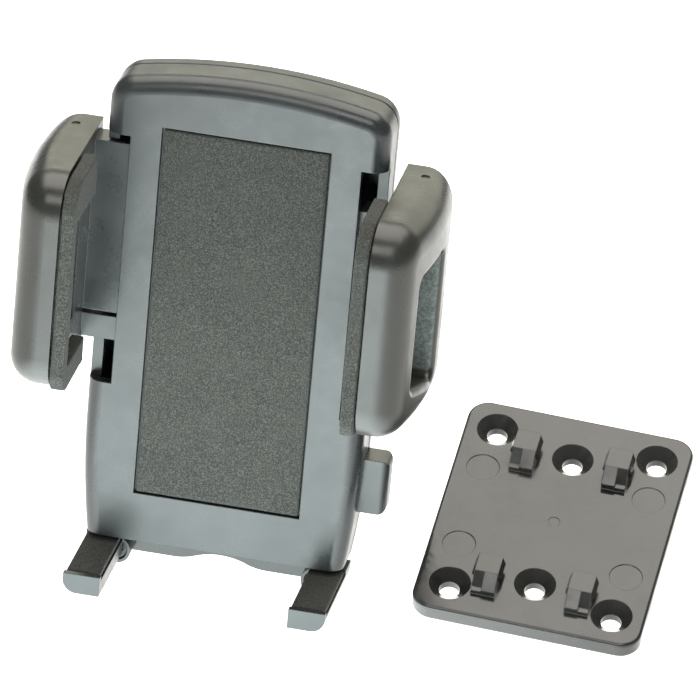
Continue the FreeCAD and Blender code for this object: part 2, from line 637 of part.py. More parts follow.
def cut_ratchet(part, low):
    """Saw teeth along the underside of the left rack."""
    step = value_of("ratchet_pitch")
    depth = value_of("ratchet_depth")
    first = -value_of("deep_x") + 1.0
    teeth = []
    for number in range(23):
        start = first + number * step
        teeth.append([(str(round(start, 3)), str(low - 0.2)),
                      (str(round(start + step * 0.96, 3)), str(low - 0.2)),
                      (str(round(start + step * 0.96, 3)), str(round(low + 0.02, 3))),
                      (str(round(start, 3)), str(round(low + depth, 3)))])
    pocket(part, "ratchet", "XZ", "arm_deep_y", "rack_y", teeth)


def build_cover(name, side):
    """Crowned outer shell of a jaw, hollow toward the arm, with a window in its side."""
    part = new_body(name)
    outline = [("%d * jaw_x" % side, "jaw_front_y"),
               ("%d * jaw_nose_x" % side, "jaw_front_y", "%d * jaw_crown_r" % side),
               ("%d * jaw_tail_x" % side, "jaw_rear_y"),
               ("%d * jaw_x" % side, "jaw_rear_y")]
    pad(part, name + "_block", "XY", "jaw_low", "jaw_high", [outline])
    soften(part, name + "_nose", "jaw_nose_r",
           lambda edge: (lies_at(edge, "Y", "jaw_front_y") and lies_at(edge, "Z", "jaw_high")))
    soften(part, name + "_chin", "jaw_chin_r",
           lambda edge: (lies_at(edge, "Y", "jaw_front_y") and lies_at(edge, "Z", "jaw_low")))
    outer = value_of("jaw_nose_x") - 0.01
    soften(part, name + "_crown", "jaw_edge_r",
           lambda edge: min(abs(edge.BoundBox.XMin), abs(edge.BoundBox.XMax)) > outer)
    pocket(part, name + "_seat", "YZ", "%d * jaw_x" % side, "%d * cover_x" % side,
           [jaw_outline("seat_rim")])
    hollow = [("hollow_front_y", "hollow_low + hollow_chin"),
              ("hollow_front_y + hollow_chin", "hollow_low"),
              ("hollow_rear_y", "hollow_low"),
              ("hollow_rear_y", "hollow_high"),
              ("hollow_front_y + hollow_slant", "hollow_high"),
              ("hollow_front_y", "hollow_high - hollow_slant")]
    pocket(part, name + "_hollow", "YZ", "%d * cover_x" % side, "%d * hollow_x" % side, [hollow])
    window = [("window_front_y", "window_front_low"),
              ("window_rear_y", "window_rear_low"),
              ("window_rear_y", "window_rear_high"),
              ("window_front_y", "window_front_high")]
    pocket(part, name + "_window", "YZ", "%d * 41" % side, "%d * (hollow_x - 0.5)" % side, [window])
    shell_x = value_of("hollow_x") + 0.1
    soften(part, name + "_window_corners", "window_corner_r",
           lambda edge: runs_along(edge, "x") and abs(edge.CenterOfMass.x) > shell_x)
    front = value_of("window_front_y") - 0.01
    rear = value_of("window_rear_y") + 0.01
    rim_x = value_of("jaw_nose_x") + 0.1
    soften(part, name + "_window_rim", "window_rim_r",
           lambda edge: (min(abs(edge.BoundBox.XMin), abs(edge.BoundBox.XMax)) > rim_x
                         and edge.BoundBox.YMin > front and edge.BoundBox.YMax < rear))
    pocket(part, name + "_gate", "XY", "jaw_high", "jaw_high - jaw_gate_depth",
           circles=[("%d * jaw_gate_x" % side, "jaw_gate_y", "jaw_gate_r")])
    return part


def build_jaw_pad(name, side):
    """C-shaped foam on a jaw's inner side."""
    part = new_body(name)
    outline = [("pad_front_y + pad_chin", "pad_low"),
               ("pad_lobe_y", "pad_low"),
               ("pad_lobe_y", "pad_low_lobe"),
               ("pad_strip_y", "pad_low_lobe"),
               ("pad_strip_y", "pad_high_lobe"),
               ("pad_lobe_y", "pad_high_lobe"),
               ("pad_lobe_y", "pad_high"),
               ("pad_front_y + pad_nose", "pad_high"),
               ("pad_front_y", "pad_high - pad_nose"),
               ("pad_front_y", "pad_low + pad_chin")]
    pad(part, name + "_foam", "YZ", "%d * pad_x" % side, "%d * (jaw_x - foam_gap)" % side, [outline])
    return part


def build_button():
    part = new_body("release_button")
    pad(part, "button_block", "YZ", "flange_back_x - 0.2", "button_x",
        [rectangle("button_y", "button_back_y", "button_low", "button_high")])
    outer = value_of("button_x")
    soften(part, "button_edges", "button_edge_r",
           lambda edge: is_near(edge.BoundBox.XMin, outer) and is_near(edge.BoundBox.XMax, outer))
    pad(part, "button_flange", "YZ", "flange_x", "flange_back_x",
        [rectangle("button_y - flange_rim", "button_back_y + flange_rim",
                   "button_low - flange_rim", "button_high + flange_rim")])
    pad(part, "button_stem", "YZ", "stem_x", "flange_x + 0.2",
        [rectangle("stem_y - stem_half", "stem_y + stem_half",
                   "stem_z - stem_half", "stem_z + stem_half")])
    return part


def build_coil(name, plane, axis, level, offset, ring, wire, start, height, turns):
    """Open coil spring about an axis of its sketch plane."""
    part = new_body(name)
    profile = new_sketch(part, name, plane, level)
    profile.setExpression("AttachmentOffset.Base." + ("y" if axis == "H_Axis" else "x"), bound(offset))
    if axis == "H_Axis":
        draw_circle(profile, start, ring, wire)
    else:
        draw_circle(profile, ring, start, wire)
    coil = part.newObject("PartDesign::AdditiveHelix", name + "_coil")
    coil.Profile = profile
    coil.ReferenceAxis = (profile, [axis])
    coil.Mode = 0
    coil.setExpression("Pitch", bound("(%s) / %d" % (height, turns)))
    coil.setExpression("Height", bound(height))
    part.Tip = coil
    profile.Visibility = False
    return part


def build_tray():
    part = new_body("foot_tray")
    pad(part, "tray_plate", "XZ", "tray_y", "tray_back_y",
        [rectangle("-tray_half_w", "tray_half_w", "tray_neck - 1", "tray_top")])
    reach = "(scallop_r + lobe_r)"
    rise = "(%s - scallop_top + tray_low)" % reach
    lobe_x = "sqrt(%s ^ 2 - %s ^ 2)" % (reach, rise)
    meet_x = "(%s * scallop_r / %s)" % (lobe_x, reach)
    meet_z = "scallop_top - scallop_r + %s * scallop_r / %s" % (rise, reach)
    lobes = [("-hub_x", "tray_low"),
             ("-" + lobe_x, "tray_low", "lobe_r"),
             ("-" + meet_x, meet_z, "-scallop_r"),
             (meet_x, meet_z, "lobe_r"),
             (lobe_x, "tray_low"),
             ("hub_x", "tray_low"),
             ("hub_x", "tray_neck"),
             ("-hub_x", "tray_neck")]
    pad(part, "tray_lobes", "XZ", "tray_y", "tray_back_y", [lobes])
    hubs = [("hub_x", "hub_z", "hub_r"), ("-hub_x", "hub_z", "hub_r")]
    pad(part, "tray_bosses", "XZ", "tray_y", "tray_back_y + 1.5", circles=hubs)
    pocket(part, "tray_pilots", "XZ", "tray_y", "tray_back_y + 1.5",
           circles=[(x, z, "foot_pilot_r") for x, z, _ in hubs])
    grooves = []
    for number in range(5):
        middle = "groove_first - %d * groove_step" % number
        grooves.append(rectangle("-groove_half_w", "groove_half_w",
                                 middle + " - groove_depth", middle + " + groove_depth"))
    pocket(part, "tray_grooves", "XZ", "tray_y", "tray_y + groove_depth", grooves)
    return part


def build_detent_leaf():
    """Bent leaf whose middle presses on the tray."""
    part = new_body("tray_detent_spring")
    back_y = "leaf_front_y + leaf_thick"
    right = [("groove_half_w", "leaf_front_y + leaf_rise"),
             ("leaf_foot_x", "leaf_front_y"),
             ("leaf_half_w", "leaf_front_y"),
             ("leaf_half_w", back_y),
             ("leaf_foot_x", back_y),
             ("groove_half_w", back_y + " + leaf_rise"),
             ("1.2", back_y + " + leaf_rise")]
    nose = [("0", back_y + " + leaf_rise + leaf_nose")]
    left = [("-" + x, y) for x, y in reversed(right)]
    pad(part, "leaf", "XY", "leaf_low", "leaf_high", [right + nose + left])
    return part


def build_foot(name, side):
    part = new_body(name)
    sides = mirrored(side, "foot_in_x", "foot_out_x")
    pad(part, name + "_blade", "XZ", "foot_rear_y", "foot_front_y",
        [rectangle(sides[0], sides[1], "foot_low", "foot_top")])
    outer = value_of("foot_out_x")
    low = value_of("foot_low")
    soften(part, name + "_edge", "foot_edge_r",
           lambda edge: (runs_along(edge, "y") and is_near(abs(edge.BoundBox.XMin), outer)
                         and is_near(edge.BoundBox.ZMin, low)))
    pocket(part, name + "_recess", "XZ", "foot_front_y + foot_lip", "hub_front_y - 0.4",
           [rectangle(sides[0] + " - 1", sides[1] + " + 1", "foot_floor", "foot_top + 1")])
    hub = ("%d * hub_x" % side, "hub_z")
    pad(part, name + "_hub", "XZ", "hub_back_y", "hub_front_y", circles=[hub + ("hub_r",)])
    pocket(part, name + "_bore", "XZ", "hub_back_y", "hub_front_y", circles=[hub + ("hub_bore_r",)])
    pocket(part, name + "_sink", "XZ", "hub_front_y - 0.1", "hub_sink_y",
           circles=[hub + ("hub_sink_r",)])
    return part


def build_foot_pad(name, side):
    part = new_body(name)
    sides = mirrored(side, "foot_in_x", "foot_out_x")
    pad(part, name + "_foam", "XZ", "foot_front_y + foot_lip + 0.3", "hub_front_y - 0.7",
        [rectangle(sides[0] + " + foam_gap", sides[1] + " - foam_gap",
                   "foot_floor + 0.05", "foot_top + 0.1")])
    return part


def build_screws(name, spots, thread, head, head_from, head_to, thread_to):
    """Headed screws along Y, one solid each."""
    part = doc.addObject("Part::Compound", name)
    part.Label = name
    screws = []
    for number, (x, z) in enumerate(spots, start=1):
        pieces = []
        for kind, radius, start, end in (("head", head, head_from, head_to),
                                         ("thread", thread, head_to, thread_to)):
            piece = doc.addObject("Part::Cylinder", "%s_%s_%d" % (name, kind, number))
            piece.setExpression("Radius", bound(radius))
            piece.setExpression("Height", bound("abs((%s) - (%s))" % (end, start)))
            turn = -90 if value_of(end) > value_of(start) else 90
            piece.Placement.Rotation = FreeCAD.Rotation(FreeCAD.Vector(1, 0, 0), turn)
            piece.setExpression("Placement.Base.x", bound(x))
            piece.setExpression("Placement.Base.y", bound(start))
            piece.setExpression("Placement.Base.z", bound(z))
            pieces.append(piece)
        slot = doc.addObject("Part::Box", "%s_slot_%d" % (name, number))
        slot.setExpression("Length", bound("%s * 1.3" % head))
        slot.Width = 0.8
        slot.Height = 0.5
        slot.setExpression("Placement.Base.x", bound("(%s) - %s * 0.65" % (x, head)))
        slot.setExpression("Placement.Base.y", bound("(%s) - 0.4" % head_from))
        slot.setExpression("Placement.Base.z", bound("(%s) - 0.25" % z))
        whole = doc.addObject("Part::MultiFuse", "%s_blank_%d" % (name, number))
        whole.Shapes = pieces
        screw = doc.addObject("Part::Cut", "%s_%d" % (name, number))
        screw.Base = whole
        screw.Tool = slot
        screws.append(screw)
    part.Links = screws
    return part


def build_washers():
    part = doc.addObject("Part::Compound", "foot_washers")
    part.Label = "foot_washers"
    washers = []
    for number, side in enumerate((-1, 1), start=1):
        rings = []
        for kind, radius in (("disc", "hub_r - 0.2"), ("hole", "foot_screw_r + 0.06")):
            ring = doc.addObject("Part::Cylinder", "washer_%s_%d" % (kind, number))
            ring.setExpression("Radius", bound(radius))
            ring.Height = 0.3
            ring.Placement.Rotation = FreeCAD.Rotation(FreeCAD.Vector(1, 0, 0), 90)
            ring.setExpression("Placement.Base.x", bound("%d * hub_x" % side))
            ring.setExpression("Placement.Base.y", bound("tray_y - 0.05"))
            ring.setExpression("Placement.Base.z", bound("hub_z"))
            rings.append(ring)
        washer = doc.addObject("Part::Cut", "washer_%d" % number)
        washer.Base = rings[0]
        washer.Tool = rings[1]
        washers.append(washer)
    part.Links = washers
    return part


def pinion_points():
    """Outline of the pinion, a tooth pointing straight down at rest."""
    teeth = int(value_of("pinion_teeth"))
    pitch_r = value_of("tooth_module * pinion_teeth / 2")
    tip_r = pitch_r + value_of("pinion_addendum")
    root_r = pitch_r - value_of("pinion_dedendum")
    pressure = math.radians(20)
    base_r = pitch_r * math.cos(pressure)
    half = math.pi / (2 * teeth) - value_of("backlash") / (2 * pitch_r)
    involute_at_pitch = math.tan(pressure) - pressure
    flank = []
    for step in range(6):
        radius = base_r + (tip_r - base_r) * step / 5.0
        angle = math.acos(base_r / radius)
        flank.append((radius, half + involute_at_pitch - (math.tan(angle) - angle)))
    flank.insert(0, (root_r, flank[0][1] + 0.02))
    points = []
    for tooth in range(teeth):
        middle = -math.pi / 2 + 2 * math.pi * tooth / teeth
        side = [(radius, middle - spread) for radius, spread in flank]
        side += [(radius, middle + spread) for radius, spread in reversed(flank)]
        points += side
    return [(radius * math.cos(angle), radius * math.sin(angle)) for radius, angle in points]


def build_pinion():
    """Toothed wheel between the two racks, turning on a post of the rear shell."""
    centre_z = value_of("pinion_z")
    back_y = value_of("arm_deep_y")
    front_y = value_of("rack_y")
    outline = [FreeCAD.Vector(x, back_y, z + centre_z) for x, z in pinion_points()]
    wheel = Part.Face(Part.makePolygon(outline + outline[:1]))
    wheel = wheel.extrude(FreeCAD.Vector(0, front_y - back_y, 0))
    axis = FreeCAD.Vector(0, -1, 0)
    bore = Part.makeCylinder(value_of("pinion_bore_r"), 10, FreeCAD.Vector(0, 0, centre_z), axis)
    sink_y = value_of("sink_y")
    sink = Part.makeCylinder(value_of("sink_r"), 5, FreeCAD.Vector(0, sink_y, centre_z), axis)
    part = doc.addObject("Part::Feature", "pinion")
    part.Label = "pinion"
    part.Shape = wheel.cut(bore).cut(sink)
    return part


def build_pawl():
    """Bell crank: a nose under the ratchet teeth and an arm down to the button's stem."""
    part = new_body("locking_pawl")
    front, back = "rack_y", "arm_deep_y"
    pad(part, "pawl_hub", "XZ", back, front, circles=[("0", "pivot_z", "pawl_hub_r")])
    nose = [("-1.2", "pivot_z + 1.5"), ("1.8", "pivot_z - 1.2"),
            ("pawl_tip_x + 0.2", "pawl_tip_z - 1.6"), ("pawl_tip_x", "pawl_tip_z"),
            ("pawl_tip_x - 2", "pawl_tip_z - 1.2")]
    pad(part, "pawl_nose", "XZ", back, front, [nose])
    pad(part, "pawl_arm", "XZ", back, front,
        [rectangle("-pawl_half", "pawl_half", "pawl_low", "pivot_z")])
    pocket(part, "pawl_bore", "XZ", back, front, circles=[("0", "pivot_z", "pin_bore_r")])
    return part


def build_pawl_pin():
    pin = doc.addObject("Part::Cylinder", "pawl_pin")
    pin.Label = "pawl_pin"
    pin.setExpression("Radius", bound("pin_r"))
    pin.setExpression("Height", bound("rear_wall_y + 0.8 - rack_y"))
    pin.Placement.Rotation = FreeCAD.Rotation(FreeCAD.Vector(1, 0, 0), -90)
    pin.setExpression("Placement.Base.y", bound("rack_y"))
    pin.setExpression("Placement.Base.z", bound("pivot_z"))
    return pin


def claw_outline():
    """Cross-section of a claw across its width, above the plate's face."""
    right = [("claw_half_w", "plate_thick - 0.5"),
             ("claw_half_w", "plate_thick + claw_neck"),
             ("claw_head_half_w", "plate_thick + claw_neck + 0.25"),
             ("claw_top_half_w", "plate_thick + claw_high")]
    return right + [("-" + across, height) for across, height in reversed(right)]


def build_plate():
    """Plate drawn flat with its claws upward, then leaned back beside the cradle."""
    part = new_body("mounting_plate")
    pad(part, "plate_block", "XY", "0", "plate_thick",
        [rectangle("-plate_half_w", "plate_half_w", "-plate_half_h", "plate_half_h")])
    soften(part, "plate_corners", "plate_corner_r", lambda edge: runs_along(edge, "z"))
    soften(part, "plate_edges", "plate_edge_r",
           lambda edge: lies_at(edge, "Z", "0") or lies_at(edge, "Z", "plate_thick"))
    spots = [(side + "hole_x", level + "hole_z") for side in ("", "-") for level in ("", "-")]
    spots += [("0", "mid_hole_z"), ("0", "-mid_hole_z")]
    pocket(part, "screw_holes", "XY", "plate_thick", "0", circles=[spot + ("hole_r",) for spot in spots])
    doc.recompute()
    top = value_of("plate_thick")
    rim = value_of("hole_r")
    soften(part, "countersinks", "hole_sink_r - hole_r",
           lambda edge: (lies_at(edge, "Z", "plate_thick") and edge.Curve.TypeId == "Part::GeomCircle"
                         and is_near(edge.Curve.Radius, rim) and is_near(edge.BoundBox.ZMax, top)),
           kind="Chamfer")
    pocket(part, "round_marks", "XY", "plate_thick", "plate_thick - ejector_depth",
           circles=[(side + "ejector_x", level + "ejector_z", "ejector_r")
                    for side in ("", "-") for level in ("", "-")])
    pocket(part, "gate_dimple", "XY", "plate_thick", "plate_thick - gate_depth",
           circles=[("0", "0", "gate_r")])
    for number, (x, y) in enumerate(socket_spots(), start=1):
        section = [("(%s) + (%s)" % (x, across), height) for across, height in claw_outline()]
        pad(part, "claw_%d" % number, "XZ", "(%s) - claw_half_h" % y, "(%s) + claw_half_h" % y,
            [section])
    neck_top = value_of("plate_thick + claw_neck")
    soften(part, "claw_edges", "claw_edge_r",
           lambda edge: edge.BoundBox.YLength < 0.01 and edge.BoundBox.ZMin > neck_top + 0.1
           and edge.BoundBox.ZLength > 1.0)
    for number, (x, y) in enumerate(socket_spots(), start=1):
        add_ramp(part, number, x, y)
    turn = [value_of("plate_yaw"), value_of("plate_roll"), value_of("plate_tilt")]
    part.Placement.Rotation = FreeCAD.Rotation(*turn)
    for axis in "xyz":
        part.setExpression("Placement.Base." + axis, bound("plate_at_" + axis))
    return part


def add_ramp(part, number, x, y):
    """Ramp below one claw: a gentle part toward the plate's middle and a steep one outside."""
    toward = -1 if value_of(x) > 0 else 1
    front = "(%s) - claw_half_h" % y
    split = "(%s) + %d * claw_split" % (x, -toward)
    parts = [("gentle", toward, "claw_ramp", "claw_base", "claw_top_half_w"),
             ("steep", -toward, "claw_ramp * 0.7", "claw_base * 0.7", "claw_top_half_w")]
    for kind, way, run, base, reach in parts:
        profile = [(front + " + 0.7", "plate_thick - 0.5"),
                   (front + " + 0.7", "plate_thick + claw_high"),
                   (front, "plate_thick + claw_high"),
                   ("%s - %s" % (front, run), "plate_thick + %s" % base),
                   ("%s - claw_ramp" % front, "plate_thick + %s" % base),
                   ("%s - claw_ramp" % front, "plate_thick - 0.5")]
        if kind == "gentle":
            del profile[4]
        edge = "(%s) + %d * %s" % (x, way, reach)
        pad(part, "%s_ramp_%d" % (kind, number), "YZ", split, edge, [profile])


def rack_band(side):
    """Lowest and highest level of one rack."""
    levels = [float(z) for _, z in rack_outline(side)]
    return min(levels), max(levels)


RACK_BANDS = {"left": rack_band(-1), "right": rack_band(1)}

nodes = [
    build_front_shell(),
    build_rear_shell(),
    build_front_pad(),
    build_arm("left_jaw_arm", -1),
    build_arm("right_jaw_arm", 1),
    build_cover("left_jaw_cover", -1),
    build_cover("right_jaw_cover", 1),
    build_jaw_pad("left_jaw_pad", -1),
    build_jaw_pad("right_jaw_pad", 1),
    build_button(),
    build_coil("button_spring", "XY", "H_Axis", "stem_z", "stem_y", "coil_r", "coil_wire_r",
               "rib_x + coil_wire_r + 0.1", "flange_x - rib_x - 2 * coil_wire_r - 0.2", 8),
    build_tray(),
    build_detent_leaf(),
    build_foot("left_foot", -1),
    build_foot("right_foot", 1),
    build_foot_pad("left_foot_pad", -1),
    build_foot_pad("right_foot_pad", 1),
    build_screws("foot_screws", [("hub_x", "hub_z"), ("-hub_x", "hub_z")], "foot_screw_r",
                 "foot_head_r", "hub_sink_y - 1.1", "hub_sink_y - 0.05", "tray_back_y + 1.4"),
    build_washers(),
    build_pinion(),
    build_screws("pinion_screw", [("0", "pinion_z")], "screw_r", "pinion_head_r",
                 "post_end_y - 0.9", "post_end_y", "rear_wall_y + 0.6"),
    build_coil("drive_spring", "XY", "V_Axis", "pinion_z", "0", "drive_r", "drive_wire_r",
               "arm_deep_y + 0.7", "2.1", 3),
    build_pawl(),
    build_pawl_pin(),
    build_screws("casing_screws", casing_screw_spots(), "screw_r", "screw_head_r",
                 "screw_sink_y + 1.3", "screw_sink_y", "front_wall_y + 0.8"),
    build_plate(),
]

doc.recompute()
for item in doc.Objects:
    if "Invalid" in item.State or "Error" in item.State:
        raise RuntimeError("%s did not recompute: %s" % (item.Name, item.State))
for node in nodes:
    if node.Shape.isNull() or not node.Shape.isValid():
        raise RuntimeError("%s has no valid shape" % node.Label)

os.makedirs("parts", exist_ok=True)
for node in nodes:
    node.Shape.exportStep("parts/%s.step" % node.Label)
    box = node.Shape.BoundBox
    print("%-20s solids %d  x %.2f %.2f  y %.2f %.2f  z %.2f %.2f  volume %.1f" % (
        node.Label, len(node.Shape.Solids), box.XMin, box.XMax, box.YMin, box.YMax,
        box.ZMin, box.ZMax, node.Shape.Volume))
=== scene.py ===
import bpy
import bmesh
from mathutils import Matrix, Vector, noise


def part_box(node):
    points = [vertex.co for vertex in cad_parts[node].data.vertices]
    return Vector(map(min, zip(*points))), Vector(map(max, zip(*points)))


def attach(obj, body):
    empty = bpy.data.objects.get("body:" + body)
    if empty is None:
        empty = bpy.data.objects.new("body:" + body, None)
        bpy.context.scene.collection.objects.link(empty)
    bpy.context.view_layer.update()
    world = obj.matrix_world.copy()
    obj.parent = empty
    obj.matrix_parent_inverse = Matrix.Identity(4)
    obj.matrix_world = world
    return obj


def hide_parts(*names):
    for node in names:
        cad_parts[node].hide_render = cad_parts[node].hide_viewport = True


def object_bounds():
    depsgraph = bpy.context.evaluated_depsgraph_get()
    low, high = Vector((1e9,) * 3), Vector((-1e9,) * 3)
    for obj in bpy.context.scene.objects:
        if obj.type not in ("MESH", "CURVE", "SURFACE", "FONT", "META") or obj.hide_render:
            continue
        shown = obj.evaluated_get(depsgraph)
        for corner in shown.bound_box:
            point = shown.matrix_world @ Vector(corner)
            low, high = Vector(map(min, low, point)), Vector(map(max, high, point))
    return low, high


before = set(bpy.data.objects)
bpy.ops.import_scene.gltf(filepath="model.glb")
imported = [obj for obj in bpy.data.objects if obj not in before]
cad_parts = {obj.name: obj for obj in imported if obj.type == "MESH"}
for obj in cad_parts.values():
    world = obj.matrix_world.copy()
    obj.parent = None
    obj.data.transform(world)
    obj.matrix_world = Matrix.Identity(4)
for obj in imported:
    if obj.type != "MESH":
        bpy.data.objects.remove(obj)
cad_low, cad_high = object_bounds()
MM = 0.001

# texture scales, in repeats per metre
CLOUD_SCALE = 38
SCUFF_SCALE = 70
WAVE_SCALE = 75
WEAR_SCALE = 260
RIPPLE_SCALE = 420
PAINTED_LIGHT_MOTTLE_SCALE = 1500
FLECK_SCALE = 2600
GRAIN_SCALE = 5200
FOAM_PATCH_SCALE = 170
FOAM_LUMP_SCALE = 700
FOAM_CELL_SCALE = 2700
FOAM_GLINT_SCALE = 3400
FOAM_FUZZ_SCALE = 4200
FOAM_SPECK_SCALE = 4700
STAIN_SCALE = 400
ACETAL_CLOUD_SCALE = 150
ACETAL_SHEEN_SCALE = 500
ACETAL_RIPPLE_SCALE = 900

EDGE_WEAR_RADIUS = 0.0004
PLASTIC_EDGE_RADIUS = 0.00022
SHARP_EDGE_RADIUS = 0.00012
MATTE_ROUGHNESS = 0.5
TURNING_MARKS_ACROSS = 900.0
TURNING_MARKS_ALONG = 60.0


# ---------------------------------------------------------------- materials

def shade(colour, factor):
    return tuple(factor * channel for channel in colour)


class Nodes:
    """Small helper for building a shader tree in object coordinates."""

    def __init__(self, name):
        self.material = bpy.data.materials.new(name)
        self.material.use_nodes = True
        self.tree = self.material.node_tree
        self.shader = self.tree.nodes["Principled BSDF"]
        coordinates = self.add("ShaderNodeTexCoord")
        self.coords = coordinates.outputs["Object"]
        self.texture_normal = coordinates.outputs["Normal"]

    def add(self, kind, **values):
        node = self.tree.nodes.new(kind)
        for key, value in values.items():
            setattr(node, key, value)
        return node

    def link(self, source, target):
        self.tree.links.new(source, target)

    def noise(self, scale, detail=3.0, rough=0.5):
        """Fractal noise, mostly between 0.3 and 0.7."""
        node = self.add("ShaderNodeTexNoise")
        node.inputs["Scale"].default_value = scale
        node.inputs["Detail"].default_value = detail
        node.inputs["Roughness"].default_value = rough
        self.link(self.coords, node.inputs["Vector"])
        return node.outputs["Fac"]

    def cells(self, scale, feature="F1", smooth=0.0):
        """Distance to the nearest of many scattered points."""
        node = self.add("ShaderNodeTexVoronoi", feature=feature)
        node.inputs["Scale"].default_value = scale
        if feature == "SMOOTH_F1":
            node.inputs["Smoothness"].default_value = smooth
        self.link(self.coords, node.inputs["Vector"])
        return node.outputs["Distance"]

    def spread(self, value, low, high, out_low=0.0, out_high=1.0):
        """The value mapped from one range to another, and held at that range's ends."""
        node = self.add("ShaderNodeMapRange")
        node.inputs["From Min"].default_value = low
        node.inputs["From Max"].default_value = high
        node.inputs["To Min"].default_value = out_low
        node.inputs["To Max"].default_value = out_high
        self.link(value, node.inputs["Value"])
        return node.outputs["Result"]

    def mix(self, factor, first, second):
        node = self.add("ShaderNodeMix", data_type="RGBA")
        self.link(factor, node.inputs["Factor"])
        for socket, colour in ((node.inputs["A"], first), (node.inputs["B"], second)):
            if isinstance(colour, tuple):
                socket.default_value = (*colour, 1.0)
            else:
                self.link(colour, socket)
        return node.outputs["Result"]

    def maths(self, operation, first, second):
        node = self.add("ShaderNodeMath", operation=operation)
        for socket, value in zip(node.inputs, (first, second)):
            if isinstance(value, (int, float)):
                socket.default_value = value
            else:
                self.link(value, socket)
        return node.outputs[0]

    def facing(self, side):
        """Cosine between the surface and a side, both in object space."""
        dot = self.add("ShaderNodeVectorMath", operation="DOT_PRODUCT")
        dot.inputs[1].default_value = side
        self.link(self.texture_normal, dot.inputs[0])
        return dot.outputs["Value"]

    def away(self, axis, place):
        """Distance along one object axis from a place on it."""
        split = self.add("ShaderNodeSeparateXYZ")
        self.link(self.coords, split.inputs["Vector"])
        return self.maths("ABSOLUTE", self.maths("SUBTRACT", split.outputs[axis], place), 0.0)

    def edges(self, radius):
        """1 on convex edges within the radius, 0 on flat faces."""
        bevel = self.add("ShaderNodeBevel", samples=6)
        bevel.inputs["Radius"].default_value = radius
        geometry = self.add("ShaderNodeNewGeometry")
        dot = self.add("ShaderNodeVectorMath", operation="DOT_PRODUCT")
        self.link(bevel.outputs["Normal"], dot.inputs[0])
        self.link(geometry.outputs["Normal"], dot.inputs[1])
        return self.spread(dot.outputs["Value"], 0.995, 0.80)

    def bump(self, layers, radius=0.0):
        """Chain of bump layers (height, distance, strength), over a rounded-edge normal."""
        normal = None
        if radius > 0:
            bevel = self.add("ShaderNodeBevel", samples=6)
            bevel.inputs["Radius"].default_value = radius
            normal = bevel.outputs["Normal"]
        for height, distance, strength in layers:
            node = self.add("ShaderNodeBump")
            node.inputs["Distance"].default_value = distance
            node.inputs["Strength"].default_value = strength
            self.link(height, node.inputs["Height"])
            if normal is not None:
                self.link(normal, node.inputs["Normal"])
            normal = node.outputs["Normal"]
        self.link(normal, self.shader.inputs["Normal"])


def plastic(name, dark, light, worn, rough, grain, smear=0.10, matte_side=None, matte_y=None,
            painted_light_colour=None):
    """Moulded plastic with a fine spark-eroded grain, flow clouding and faintly worn edges.

    One side may be rougher: all that faces matte_side, or only what also lies at matte_y.
    That side may have a mottled colour of painted light of its own, which stands in for the light it
    catches and reflects.
    """
    n = Nodes(name)
    cloud = n.spread(n.noise(CLOUD_SCALE, 5.0, 0.62), 0.32, 0.68)
    fleck = n.spread(n.noise(FLECK_SCALE, 2.0, 0.5), 0.66, 0.8, 0.0, 0.18)
    patchy = n.spread(n.noise(WEAR_SCALE, 5.0, 0.7), 0.4, 0.72, 0.05, 0.5)
    wear = n.maths("MULTIPLY", n.edges(EDGE_WEAR_RADIUS), patchy)
    colour = n.mix(wear, n.mix(fleck, n.mix(cloud, dark, light), worn), worn)
    scuffs = n.spread(n.noise(SCUFF_SCALE, 6.0, 0.72), 0.36, 0.66, rough - smear / 2, rough + smear)
    if matte_side is not None:
        matte = n.spread(n.facing(matte_side), 0.8, 0.95)
        if matte_y is not None:
            band = n.spread(n.away("Y", matte_y), 0.0002, 0.0005, 1.0, 0.0)
            matte = n.maths("MULTIPLY", matte, band)
        scuffs = n.maths("ADD", scuffs, n.maths("MULTIPLY", matte, MATTE_ROUGHNESS))
        # painted light: a pale mottled colour on that side, standing in for the light and reflection it
        # catches
        if painted_light_colour is not None:
            painted_light_mottle = n.spread(n.noise(PAINTED_LIGHT_MOTTLE_SCALE, 5.0, 0.7), 0.40, 0.60)
            colour = n.mix(matte, colour, n.mix(painted_light_mottle, shade(painted_light_colour, 0.5), painted_light_colour))
    n.link(colour, n.shader.inputs["Base Color"])
    n.link(scuffs, n.shader.inputs["Roughness"])
    n.shader.inputs["Specular IOR Level"].default_value = 0.5
    n.bump([(n.noise(WAVE_SCALE, 3.0, 0.5), 0.0006, 0.14),
            (n.noise(RIPPLE_SCALE, 3.0, 0.6), 0.00008, 0.22),
            (n.cells(GRAIN_SCALE, "SMOOTH_F1", 0.6), 0.00002, grain)], radius=PLASTIC_EDGE_RADIUS)
    return n.material


